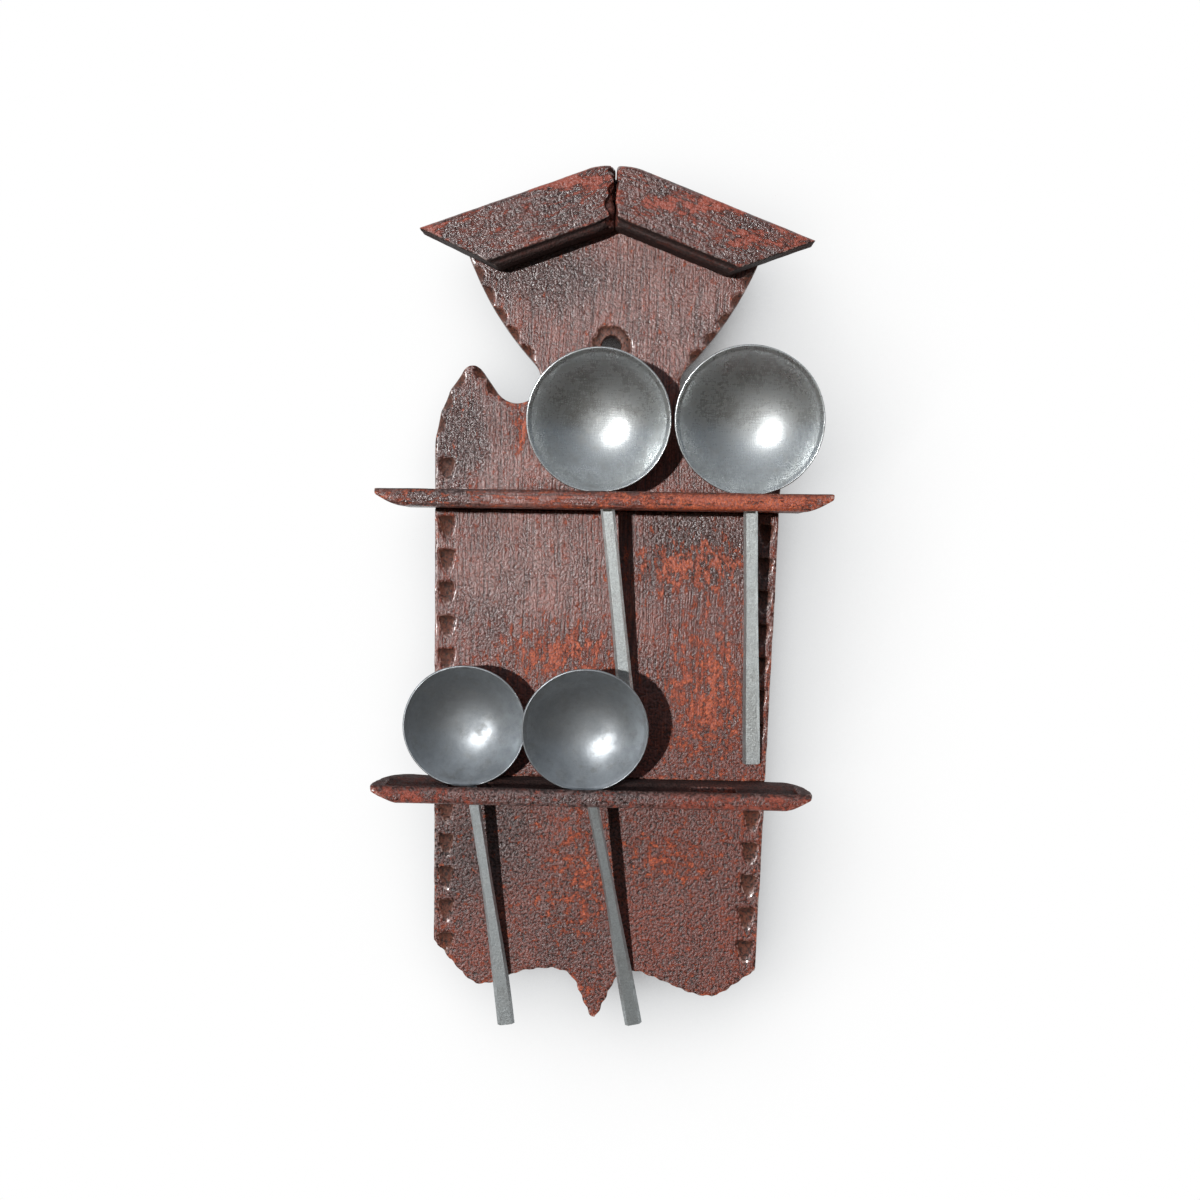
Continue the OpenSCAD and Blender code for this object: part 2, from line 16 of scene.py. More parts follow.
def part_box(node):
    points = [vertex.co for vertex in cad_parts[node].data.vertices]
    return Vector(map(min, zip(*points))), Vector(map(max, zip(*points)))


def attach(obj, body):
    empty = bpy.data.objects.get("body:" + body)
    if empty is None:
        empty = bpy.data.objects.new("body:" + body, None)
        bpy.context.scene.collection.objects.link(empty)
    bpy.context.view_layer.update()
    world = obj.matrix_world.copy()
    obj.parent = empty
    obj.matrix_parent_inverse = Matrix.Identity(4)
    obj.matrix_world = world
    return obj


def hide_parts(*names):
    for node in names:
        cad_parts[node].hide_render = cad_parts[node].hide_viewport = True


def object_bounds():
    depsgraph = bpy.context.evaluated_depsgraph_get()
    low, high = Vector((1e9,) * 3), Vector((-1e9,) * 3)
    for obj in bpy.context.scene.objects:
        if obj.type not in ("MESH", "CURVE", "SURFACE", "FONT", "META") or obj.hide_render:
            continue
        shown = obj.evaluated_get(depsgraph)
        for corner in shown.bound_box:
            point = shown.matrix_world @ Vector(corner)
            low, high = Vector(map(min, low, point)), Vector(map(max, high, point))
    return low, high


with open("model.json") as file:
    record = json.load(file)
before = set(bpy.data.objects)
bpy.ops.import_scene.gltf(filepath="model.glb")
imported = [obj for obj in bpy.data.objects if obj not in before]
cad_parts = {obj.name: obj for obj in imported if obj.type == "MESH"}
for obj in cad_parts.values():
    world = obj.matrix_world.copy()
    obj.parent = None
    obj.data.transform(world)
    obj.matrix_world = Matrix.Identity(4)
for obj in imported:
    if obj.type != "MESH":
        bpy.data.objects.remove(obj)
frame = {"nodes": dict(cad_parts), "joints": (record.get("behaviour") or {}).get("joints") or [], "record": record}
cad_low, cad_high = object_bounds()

MM = 0.001
scene = bpy.context.scene
print("solids:", sorted(frame["nodes"]))


# %% [markdown]
# Shader maths reads best as plain sums. This class wraps one node socket, so that adding or multiplying
# two of them lays down the Math node between them. Every other node comes from its `node` method.

# %% A socket that can be written as a sum
class Wire:
    """One output socket of a shader node, and the tree that it is in."""

    def __init__(self, tree, socket):
        self.tree = tree
        self.socket = socket

    def node(self, kind, inputs, out=0, stops=(), **settings):
        """Adds a node, sets it, then gives or links its inputs. The answer is one of its outputs."""
        made = self.tree.nodes.new("ShaderNode" + kind)
        for name, value in settings.items():
            setattr(made, name, value)
        for index, (place, colour) in enumerate(stops):
            ramp = made.color_ramp.elements
            stop = ramp[index] if index < len(ramp) else ramp.new(place)
            stop.position, stop.color = place, colour
        for key, value in inputs.items():
            if isinstance(value, Wire):
                self.tree.links.new(value.socket, made.inputs[key])
            else:
                made.inputs[key].default_value = value
        return Wire(self.tree, made.outputs[out])

    def math(self, operation, other, swapped=False):
        first, second = (other, self) if swapped else (self, other)
        return self.node("Math", {0: first, 1: second}, operation=operation)

    def __add__(self, other):
        return self.math("ADD", other)

    def __sub__(self, other):
        return self.math("SUBTRACT", other)

    def __rsub__(self, other):
        return self.math("SUBTRACT", other, swapped=True)

    def __mul__(self, other):
        return self.math("MULTIPLY", other)

    __radd__ = __add__
    __rmul__ = __mul__

    def most(self, other):
        return self.math("MAXIMUM", other)

    def step(self, low, high):
        """A soft step from 0 at low to 1 at high."""
        return self.node("MapRange", {"Value": self, "From Min": low, "From Max": high},
                         interpolation_type="SMOOTHSTEP")

    def mix(self, zero, one):
        """The colour zero where this is 0, and the colour one where it is 1."""
        return self.node("Mix", {"Factor": self, 6: zero, 7: one}, out=2, data_type="RGBA")

    def vector(self, operation, other, out=0):
        return self.node("VectorMath", {0: self, 1: other}, out=out, operation=operation)

    def noise(self, scale, detail=2.0, roughness=0.5, out=0):
        return self.node("TexNoise", {"Vector": self, "Scale": scale, "Detail": detail,
                                      "Roughness": roughness}, out=out)

    def part(self, axis):
        return self.node("SeparateXYZ", {0: self}, out=axis)


def srgb(red, green, blue):
    """A colour of 0 to 255 as the eye reads it, made linear for a shader."""
    return tuple((c / 255) ** 2.2 for c in (red, green, blue)) + (1.0,)


def new_material(name):
    """A material, its main shader, and the Object coordinates in millimetres."""
    material = bpy.data.materials.new(name)
    material.use_nodes = True
    tree = material.node_tree
    coords = Wire(tree, tree.nodes.new("ShaderNodeTexCoord").outputs["Object"])
    return material, tree.nodes["Principled BSDF"], coords.vector("MULTIPLY", (1 / MM,) * 3)


def feed(shader, wires):
    """Links each wire to the shader's input of that name."""
    for name, wire in wires.items():
        wire.tree.links.new(wire.socket, shader.inputs[name])


print("shader helpers ready")


# %% [markdown]
# The paint is old oxblood on softwood. It has shrunk into a crust of small lumps, the grain stands up in
# ribs where the wood has moved, and an orange-red ground shows where the crust has flaked away. Low on the
# rack the ribs fade and the paint is pebbled and flecked. An image could hold all this, but layered noise
# in Object coordinates keeps its scale on every piece and needs no unwrapping. Three attributes of the worn
# meshes tell the paint where edges, hollows and carved cuts are: cuts bare dark wood, and their lips shine.
# Hollows, and faces turned a given way, are darkened as painted shade.

# %% Paint colours and patches
OXBLOOD = srgb(106, 55, 44)
# Mauve is partly the paint's own bleached tone and partly painted sheen of light on the rough crust.
SHEEN_MAUVE = srgb(144, 99, 90)
SLATE = srgb(86, 76, 75)
PITCH = srgb(30, 19, 16)
RUST = srgb(142, 64, 45)
ORANGE = srgb(196, 96, 56)
DEEP_ORANGE = srgb(158, 74, 54)
BROWN = srgb(98, 52, 35)
BARE = srgb(140, 104, 76)
CHAFED = srgb(186, 160, 150)


def patches(place, spots):
    """How near a point on the front is to the middle of the nearest of several soft patches.

    A spot is the x and z of a patch's middle and its half width and half height, in millimetres."""
    nearest = 0.0
    for x, z, wide, high in spots:
        flat = place.vector("SUBTRACT", (x, 0, z)).vector("MULTIPLY", (1 / wide, 0, 1 / high))
        nearest = (1.0 - flat.vector("LENGTH", (0, 0, 0), out=1)).most(nearest)
    return nearest


print("paint colours:", OXBLOOD[:3], RUST[:3])

# %% [markdown]
# The recipe works from the bottom up, as a painter would: first masks that say where the paint is crusted,
# pale with painted sheen, flaked or cut, then colours laid over each other by those masks, then one height for
# the bump. The lip of a cut catches light, so it alone gets a thin clear coat, broken up by the grit.

# %% The recipe for aged paint
PEBBLED_FROM = -120.0
PEBBLED_TO = -230.0
BACK_FROM = -1.4
BACK_TO = -0.3
CRUST_HEIGHT = 0.76
LIP_ROUGHNESS = 0.2


def paint(name, turn, ground, crust, worn, crust_spots, worn_spots, pale_and_sheen_spots):
    """Aged paint, its grain turned about Y. Crust and worn shift how much of the two shows."""
    material, shader, place = new_material(name)
    edge, hollow, cut = (place.node("Attribute", {}, out=2, attribute_name=mark)
                         for mark in ("edge", "hollow", "cut"))
    low = place.part(2).step(PEBBLED_FROM, PEBBLED_TO)
    back = place.part(1).step(BACK_FROM, BACK_TO)

    # Noise on shaken coordinates makes the grit, and noise drawn out along the grain the ribs and streaks.
    stirred = place.vector("ADD", place.noise(0.2, 2.0, out=1).vector("MULTIPLY", (1.6, 1.6, 1.6)))
    grown = place.vector("ADD", place.noise(0.02, 1.0, out=1).vector("MULTIPLY", (6, 6, 6)))
    grain = grown.node("Mapping", {"Vector": grown, "Rotation": (0, math.radians(turn), 0)})
    fine = place.noise(1.3, 3.0, 0.6)
    grit = stirred.noise(0.8, 2.0, 0.45)
    ribs = grain.vector("MULTIPLY", (1.15, 1.15, 0.025)).noise(1.0, 2.0, 0.6)
    streaks = grain.vector("MULTIPLY", (0.36, 0.36, 0.2)).noise(1.0, 6.0, 0.76) + (ribs - 0.5) * 0.25
    wear = streaks + (place.noise(0.26, 6.0, 0.8) + 0.03 - streaks) * low

    # Masks: 1 where the paint is crusted, pale with painted sheen, flaked, on the lip of a cut or chipped at its
    # edge.
    crusted = place.noise(0.03, 4.0, 0.62) * 0.7 + patches(place, crust_spots) * 0.35 + crust
    crusted = crusted.step(0.2, 0.6)
    # Pale paint: partly bleached paint, partly painted sheen where light glances off the rough surface.
    pale_and_sheen = (place.noise(0.035, 4.0) * 0.7 + patches(place, pale_and_sheen_spots) * 0.5).step(0.32, 0.75)
    flaked = wear + patches(place, worn_spots) * (0.19 - 0.08 * low) + edge * 0.12 + worn
    flaked = flaked.step(0.59, 0.67)
    ragged = cut * (0.4 + 1.2 * fine)
    lips = cut.step(0.0, 0.05).most(edge.step(0.04, 0.3)) * (1.0 - cut.step(0.4, 0.95))
    chips = ragged.step(0.02, 0.15) * (1.0 - ragged.step(0.25, 0.5)) * grit.step(0.45, 0.6)

    # Colours: the paint with its painted sheen and its grain, the crust, the ground under flakes, then cuts,
    # painted shade, edges and back.
    colour = pale_and_sheen.mix(OXBLOOD, SHEEN_MAUVE)
    colour = ((wear + worn).step(0.42, 0.62) * 0.5).mix(colour, RUST)
    colour = ((1.0 - ribs.step(0.36, 0.52)) * (0.55 - 0.3 * low)).mix(colour, PITCH)
    colour = (ribs.step(0.55, 0.68) * (0.22 - 0.2 * low)).mix(colour, CHAFED)
    colour = ((1.0 - grit.step(0.34, 0.56)) * (0.5 + 0.35 * low)).mix(colour, PITCH)
    colour = (crusted * 0.75).mix(colour, grit.step(0.36, 0.6).mix(PITCH, SLATE))
    bright = (grit.step(0.3, 0.5) * 0.7 + 0.3).mix(OXBLOOD, fine.step(0.4, 0.65).mix(RUST, ground))
    colour = (flaked * 0.9).mix(colour, bright)
    raw = (fine.step(0.48, 0.7) * 0.4).mix(grit.step(0.3, 0.58).mix(PITCH, BROWN), BARE)
    colour = (ragged.step(0.1, 0.6) * 0.75).mix(colour, raw)
    colour = (chips * 0.5).mix(colour, CHAFED)
    # Painted shade: hollows and the faces turned a given way go towards pitch black.
    colour = (hollow * 0.85).mix(colour, PITCH)
    colour = (edge.step(0.2, 0.7) * grit.step(0.5, 0.62) * 0.6).mix(colour, CHAFED)
    colour = back.mix(colour, ribs.mix(BROWN, BARE))

    # Height and shine.
    ribbed = ribs * (0.55 - 0.4 * crusted) * (1.0 - 0.6 * low)
    height = ribbed + grit * (0.45 + 0.6 * crusted + 0.35 * low) + fine * 0.2 - flaked * 0.18
    bump = height.node("Bump", {"Height": height, "Strength": 0.9, "Distance": CRUST_HEIGHT * MM})
    rough = (0.35 - 0.1 * crusted + 0.16 * flaked + 0.25 * cut + 0.5 * hollow + 0.1 * low
             + (fine - 0.5) * 0.2)
    coat = lips * (1.0 - hollow) * (1.0 - back) * grit.step(0.36, 0.62) * 0.6
    feed(shader, {"Base Color": colour, "Normal": bump, "Roughness": rough, "Coat Weight": coat})
    shader.inputs["Coat Roughness"].default_value = LIP_ROUGHNESS
    return material


print("paint is pebbled below", PEBBLED_FROM, "mm")

# %% [markdown]
# One paint could cover all the wood, but each piece has aged in its own way. The board is ribbed, and worn
# orange at the lower right. The mouldings are crusted with worn upper edges, and hands have rubbed the
# shelves red. So several paints come from the one recipe, each with its own patches.

# %% The paints of this rack
RAKE = 20.7
board_paint = paint(
    "board_paint", turn=0, ground=ORANGE, crust=-0.02, worn=-0.01,
    crust_spots=[(-25, 32, 45, 26), (-70, -45, 16, 34), (42, -92, 34, 26), (-60, -235, 40, 40)],
    worn_spots=[(50, -165, 40, 70), (38, -102, 44, 20), (-20, -145, 50, 24), (-8, -250, 26, 44),
                (34, -240, 30, 16), (-8, -305, 14, 18), (-38, -40, 14, 16)],
    pale_and_sheen_spots=[(10, 20, 70, 50), (-36, -58, 50, 14), (-35, -110, 50, 38)])
upper_shelf_paint = paint(
    "upper_shelf_paint", turn=90, ground=ORANGE, crust=-0.14, worn=0.05,
    crust_spots=[(-80, -72, 40, 20)], worn_spots=[(60, -73, 70, 30)], pale_and_sheen_spots=[(-55, -72, 70, 30)])
lower_shelf_paint = paint(
    "lower_shelf_paint", turn=90, ground=DEEP_ORANGE, crust=-0.04, worn=0.0,
    crust_spots=[(-10, -208, 60, 20)], worn_spots=[(70, -210, 40, 12), (-85, -208, 30, 12)], pale_and_sheen_spots=[])
left_moulding_paint = paint(
    "left_moulding_paint", turn=RAKE - 90, ground=DEEP_ORANGE, crust=0.12, worn=0.03,
    crust_spots=[], worn_spots=[(-85, 47, 12, 12), (-25, 72, 40, 8)], pale_and_sheen_spots=[])
right_moulding_paint = paint(
    "right_moulding_paint", turn=90 - RAKE, ground=DEEP_ORANGE, crust=0.12, worn=0.03,
    crust_spots=[], worn_spots=[(85, 47, 16, 14), (60, 47, 14, 8), (25, 62, 16, 7), (45, 62, 60, 5)],
    pale_and_sheen_spots=[])
print("paints:", [m.name for m in bpy.data.materials if m.name.endswith("_paint")])

# %% [markdown]
# Pewter is a soft grey metal. The bowls have been scoured for years, so their shine is broken by fine
# scratches, dull clouds and stains, and the stems have a drier, grainy cast skin. One roughness would make
# every highlight alike, so a bright and a satin finish of the same grey are mixed, cloud by cloud. Four
# finishes come from the recipe, because stems are paler and drier than bowls and the lower bowls greyer.
# The lower stems get a darker copy of the stem finish, which is painted shade: they lean back and mirror a
# darker ground.

# %% Pewter
TARNISH = srgb(122, 117, 106)
CAST_GREY = srgb(128, 132, 132)
PITTED = srgb(104, 101, 94)
SCRATCH_HEIGHT = 0.12
SATIN = 0.3


def pewter(name, grey, dullness, skin):
    """Scoured pewter: a bright and a satin finish mixed in clouds, with fine scratches and a cast skin."""
    material, bright, place = new_material(name)
    clouds = place.noise(0.08, 6.0, 0.65)
    pits = place.noise(0.9, 4.0, 0.65)
    along = place.vector("MULTIPLY", (0.12, 0.8, 2.6)).noise(1.0, 2.0)
    across = place.vector("MULTIPLY", (2.4, 0.8, 0.3)).noise(1.0, 2.0)
    dull = clouds.step(0.32, 0.7)
    stains = place.noise(0.22, 5.0, 0.7).step(0.5, 0.66)
    grains = place.noise(1.5, 3.0, 0.6).step(0.4, 0.62)
    colour = dull.mix(srgb(*[c + 8 for c in grey]), srgb(*[c - 20 for c in grey]))
    colour = (stains * 0.22).mix(colour, TARNISH)
    colour = (grains * (0.14 * skin)).mix(colour, CAST_GREY)
    colour = (pits.step(0.6, 0.74) * (0.25 + 0.15 * skin)).mix(colour, PITTED)
    height = along * 0.35 + across * 0.35 + pits * skin + clouds * 0.8
    bump = height.node("Bump", {"Height": height, "Strength": 0.5, "Distance": SCRATCH_HEIGHT * MM})
    rough = (dull * 0.06 + (along - 0.5) * 0.12 + (across - 0.5) * 0.1 + pits.step(0.6, 0.8) * 0.1
             + stains * 0.08 + dullness)
    feed(bright, {"Base Color": colour, "Normal": bump, "Roughness": rough})
    bright.inputs["Metallic"].default_value = 1.0
    satin = place.node("BsdfPrincipled", {"Base Color": colour, "Normal": bump, "Roughness": rough + SATIN,
                                          "Metallic": 1.0})
    tree = material.node_tree
    both = place.node("MixShader", {0: 0.22 + dull * 0.3, 1: Wire(tree, bright.outputs[0]), 2: satin})
    tree.links.new(both.socket, tree.nodes["Material Output"].inputs["Surface"])
    return material


bowl_pewter = pewter("bowl_pewter", (192, 195, 195), dullness=0.24, skin=0.25)
stem_pewter = pewter("stem_pewter", (226, 231, 230), dullness=0.3, skin=2.0)
grey_pewter = pewter("grey_pewter", (160, 164, 167), dullness=0.4, skin=0.5)
# A darker copy of the stem finish: painted shade for the lower stems, which mirror a darker ground.
shaded_stem_pewter = pewter("shaded_stem_pewter", (192, 197, 198), dullness=0.36, skin=2.0)
print("pewters:", [m.name for m in (bowl_pewter, stem_pewter, grey_pewter, shaded_stem_pewter)])

# %% [markdown]
# The nails are wrought by hand. A plain dark metal would do from afar, but a forged skin has scale and a
# little rust, and one noise gives both the bump and the rust.

# %% Iron
IRON = srgb(52, 48, 46)
RUSTED = srgb(104, 66, 44)
SCALE_HEIGHT = 0.2


def wrought_iron():
    """Dark hammered iron with a little rust on its scale."""
    material, shader, place = new_material("wrought_iron")
    scale = place.noise(0.8, 4.0, 0.6)
    bump = scale.node("Bump", {"Height": scale, "Strength": 0.6, "Distance": SCALE_HEIGHT * MM})
    colour = scale.step(0.45, 0.7).mix(IRON, RUSTED)
    feed(shader, {"Base Color": colour, "Normal": bump, "Roughness": 0.4 + scale * 0.4})
    shader.inputs["Metallic"].default_value = 0.85
    return material


nail_iron = wrought_iron()
print("iron:", nail_iron.name)

# %% [markdown]
# Wear is a matter of moving points. A sculptor would do it with brushes; here the points of a mesh are read
# into an array, moved by sums, and written back, which is fast and the same each time.

# %% Reading and moving the points of a mesh
WELD = 0.001


def read(data, name, width, kind=np.float32):
    """One property of every item of a mesh, as rows."""
    values = np.empty(len(data) * width, kind)
    data.foreach_get(name, values)
    return values.reshape(-1, width)


def move(mesh, points):
    """Writes new places for every point of a mesh."""
    mesh.vertices.foreach_set("co", points.astype(np.float32).ravel())


def spread(values, pairs, count):
    """The mean of each point's neighbours along the mesh's edges."""
    total = np.stack([np.bincount(pairs[:, 0], values[pairs[:, 1], k], count)
                      + np.bincount(pairs[:, 1], values[pairs[:, 0], k], count) for k in range(3)], 1)
    return total / np.maximum(np.bincount(pairs.ravel(), minlength=count), 1)[:, None]


def sway(points, period, seed):
    """Smooth noise from -1 to 1 at each point, with a given period in millimetres."""
    shift = Vector((seed * 7.3, seed * 3.1, seed * 5.7))
    return np.array([noise.noise(Vector(p) / (period * MM) + shift) for p in points])


def solid_copy(node):
    """A copy of a solid with its loose triangles merged."""
    merged = bmesh.new()
    merged.from_mesh(frame["nodes"][node].data)
    bmesh.ops.remove_doubles(merged, verts=merged.verts, dist=WELD * MM)
    mesh = bpy.data.meshes.new(node)
    merged.to_mesh(mesh)
    merged.free()
    piece = bpy.data.objects.new("worn_" + node, mesh)
    scene.collection.objects.link(piece)
    return piece


def baked(piece):
    """Puts the outcome of a piece's modifiers into its mesh and takes the modifiers away."""
    made = bpy.data.meshes.new_from_object(piece.evaluated_get(bpy.context.evaluated_depsgraph_get()))
    piece.modifiers.clear()
    piece.data = made
    return made


print("points within", WELD, "mm are welded")

# %% [markdown]
# A worn piece has no sharp arris left. Bevels would round every edge alike, so each wooden solid is copied,
# remeshed in small even cells, and smoothed a few times, which wears thin edges most. Seeded noise then
# dents it. How far each point stands out from its smoothed surroundings becomes the edge attribute. How far
# it sinks, together with what faces a given way, becomes hollow, a mask of painted shade, and how far it
# lies below the front face becomes a third, cut. The paint reads all three.

# %% Worn copies of the wooden solids
MOST_TRIANGLES = 190000
SURROUNDINGS = 8.0
PROUD = 0.9
SUNK = 0.8
CUT_FROM = 0.2
CUT_RUN = 0.8
LONG_DENT = 26
SHORT_DENT = 7
CHIP_LENGTH = 9
CHIP_DEPTH = 0.7


def mark_wear(mesh, points, normals, cell, shaded_facing, carved):
    """Keeps the edge, hollow and cut of every point as attributes. Hollow is a mask of painted shade. The answer
    is the edge.
    """
    pairs = read(mesh.edges, "vertices", 2, np.int32)
    around = points
    for _ in range(int(SURROUNDINGS / cell)):
        around = spread(around, pairs, len(points))
    stands = ((points - around) * normals).sum(1) / MM
    edge = np.clip(stands / PROUD, 0, 1)
    # Painted shade: points sunk below their surroundings, and faces turned up or down by the facing weight.
    hollow = np.maximum(np.clip(-stands / SUNK, 0, 1), np.clip(normals[:, 2] * shaded_facing, 0, 1))
    below = (points[:, 1] - points[:, 1].min()) / MM
    faces_front = np.clip(-normals[:, 1] * 2, 0, 1)
    cut = carved * np.clip((below - CUT_FROM) / CUT_RUN, 0, 1) * faces_front
    for name, values in (("edge", edge), ("hollow", hollow), ("cut", cut)):
        kept = mesh.attributes.new(name, "FLOAT", "POINT")
        kept.data.foreach_set("value", values.astype(np.float32))
    return edge


def weathered(node, cell, rounds, dent, seed, shaded_facing=0.0, carved=0.0, reshape=None):
    """A worn copy of a wooden solid, with its edge, hollow and cut attributes. Hollow is painted shade.

    A positive facing weight paints shade on what faces up, a negative one on what faces down. Reshape moves the
    worn points."""
    piece = solid_copy(node)
    remesh = piece.modifiers.new("cells", "REMESH")
    remesh.mode, remesh.voxel_size = "VOXEL", cell * MM
    smooth = piece.modifiers.new("wear", "SMOOTH")
    smooth.factor, smooth.iterations = 0.5, rounds
    made = baked(piece)

    points = read(made.vertices, "co", 3).astype(float)
    if reshape:
        points = reshape(points)
        move(made, points)
        made.update()
    normals = read(made.vertex_normals, "vector", 3).astype(float)
    edge = mark_wear(made, points, normals, cell, shaded_facing, carved)
    push = dent * (0.6 * sway(points, LONG_DENT, seed) + 0.4 * sway(points, SHORT_DENT, seed + 1))
    push -= CHIP_DEPTH * edge * np.maximum(sway(points, CHIP_LENGTH, seed + 2), 0)
    move(made, points + normals * push[:, None] * MM)

    made.calc_loop_triangles()
    if len(made.loop_triangles) > MOST_TRIANGLES:
        thin = piece.modifiers.new("thin", "DECIMATE")
        thin.ratio = MOST_TRIANGLES / len(made.loop_triangles)
        made = baked(piece)
    made.shade_smooth()
    return piece


def dress(piece, finish, body, slot, *nodes):
    """Gives a finished piece its material and its body, and hides the solids it stands for.

    The slot is not used.
    """
    piece.data.materials.clear()
    piece.data.materials.append(finish)
    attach(piece, body)
    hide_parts(*nodes)
    piece.data.calc_loop_triangles()
    print(piece.name, len(piece.data.loop_triangles), "triangles")


print("a worn piece has about", MOST_TRIANGLES, "triangles at most")

# %% [markdown]
# The backboard is one carved plank. Its gouge cuts are already in the solid, and cells of three quarters of
# a millimetre keep them while their edges soften. About the hanging hole, wear has run the carved petals
# together. A cutter could sink that hollow, but setting the depth of the points there keeps one clean mesh.

# %% The backboard
FRONT_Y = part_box("backboard")[0].y / MM
hanging_hole = next(mount for mount in frame["record"]["mounts"] if mount["name"] == "hanging_hole")
HOLE_R = hanging_hole["dims"]["r_mm"]
HOLE_WALL = 0.35
ROSETTE_R = 8.8
ROSETTE_DEPTH = 1.4
ROSETTE_FIELD = 16
ROSETTE_FLOOR = 2.2
ROSETTE_SLOPE = 1.2
ROSETTE_RAGGED = 0.9
ROSETTE_ROUGH = 0.25


def worn_rosette(points):
    """Runs the petals about the hanging hole together into one ragged hollow."""
    x, y, z = (points / MM).T
    away = np.hypot(x, z)
    six_lobes = np.abs(np.cos(3 * np.arctan2(z, x)))
    reach = ROSETTE_R + ROSETTE_RAGGED * six_lobes + ROSETTE_RAGGED * sway(points * (1, 0, 1), 4, 31)
    sunk = ROSETTE_DEPTH * np.clip((reach - away) / ROSETTE_SLOPE, 0, 1)
    sunk += ROSETTE_ROUGH * sway(points * (1, 0, 1), 2.5, 33)
    wall = away < HOLE_R + HOLE_WALL
    face = ~wall & (away < ROSETTE_FIELD) & (y < FRONT_Y + ROSETTE_FLOOR)
    moved = points.copy()
    moved[face, 1] = (FRONT_Y + np.maximum(sunk[face], 0)) * MM
    moved[wall, 1] *= 1 + ROSETTE_DEPTH / FRONT_Y
    return moved


board = weathered("backboard", cell=0.75, rounds=3, dent=0.25, seed=1, carved=1.0, reshape=worn_rosette)
dress(board, board_paint, "rack", "painted_wood", "backboard")

# %% [markdown]
# The shelves were split thin and rubbed by hands and spoons, so they get finer cells and a little more dent.
# What faces up on them is darkened as painted shade.

# %% The shelves
for name, finish, seed in (("upper_shelf", upper_shelf_paint, 5), ("lower_shelf", lower_shelf_paint, 6)):
    shelf = weathered(name, cell=0.6, rounds=4, dent=0.3, seed=seed, shaded_facing=0.85)
    dress(shelf, finish, "rack", "painted_wood", name)

# %% [markdown]
# The raking mouldings meet in a mitre that has been knocked about. A rough cutter could break it, but moving
# points keeps each piece closed. So points near the joint are pulled back by noise, more on the left piece,
# and the peak itself is blunted, which leaves the small open V at the top.

# %% The mouldings
PEAK_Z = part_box("left_moulding")[1].z / MM
BROKEN_WIDTH = 8
BROKEN_FROM = 20
BROKEN_RUN = 8
BITE_PERIOD = 5
BITE_SHARE = 0.35
BLUNT_WIDTH = 12
BLUNT_HEIGHT = 12
BLUNT_RUN = 10
BLUNT_DROP = 3


def knock_mitre(piece, side, depth, seed):
    """Breaks the mitred end of a moulding and blunts its peak."""
    points = read(piece.data.vertices, "co", 3).astype(float)
    x, y, z = (points / MM).T
    near = np.clip(1 - np.abs(x) / BROKEN_WIDTH, 0, 1)
    front = np.clip((-y - BROKEN_FROM) / BROKEN_RUN, 0, 1)
    bite = np.maximum(sway(points * (0, 1, 1), BITE_PERIOD, seed) + BITE_SHARE, 0)
    points[:, 0] += side * near * front * bite * depth * MM
    inward = np.clip(1 - np.abs(x) / BLUNT_WIDTH, 0, 1) ** 1.5
    upward = np.clip((z - PEAK_Z + BLUNT_HEIGHT) / BLUNT_RUN, 0, 1)
    points[:, 2] -= inward * upward * BLUNT_DROP * MM
    move(piece.data, points)


for name, side, depth, finish, seed in (("left_moulding", -1, 5.0, left_moulding_paint, 11),
                                        ("right_moulding", 1, 1.8, right_moulding_paint, 14)):
    # What faces down on a moulding is darkened as painted shade.
    moulding = weathered(name, cell=0.5, rounds=5, dent=0.3, seed=seed, shaded_facing=-2.2)
    knock_mitre(moulding, side, depth, seed)
    dress(moulding, finish, "rack", "painted_wood", name)

# %% [markdown]
# The nails are driven from behind, so only their sunk heads show at the back. The solids have the right
# shape and only take the iron finish.

# %% The nails
for name in ("upper_shelf_nails", "lower_shelf_nails", "left_moulding_nails", "right_moulding_nails"):
    nails = frame["nodes"][name]
    nails.data.materials.clear()
    nails.data.materials.append(nail_iron)
print("nails finished in", nail_iron.name)

# %% [markdown]
# A stem is a bar drawn along a path: it starts as a rat-tail on the back of the bowl, turns at the neck and
# runs down, widening to a square end. That is a section swept along a curve, so a Geometry Nodes tree makes
# it: the path becomes a curve, a chamfered bar is swept along it, and its width follows the way along.

# %% The stem tree
STEM_RINGS = 90
TAIL_SHARE = 0.13
TAIL_SCALE = 0.3
WIDEN_FROM = 0.35


def link_all(tree, *pairs):
    """Links each pair of an output and an input."""
    for source, target in pairs:
        tree.links.new(source, target)


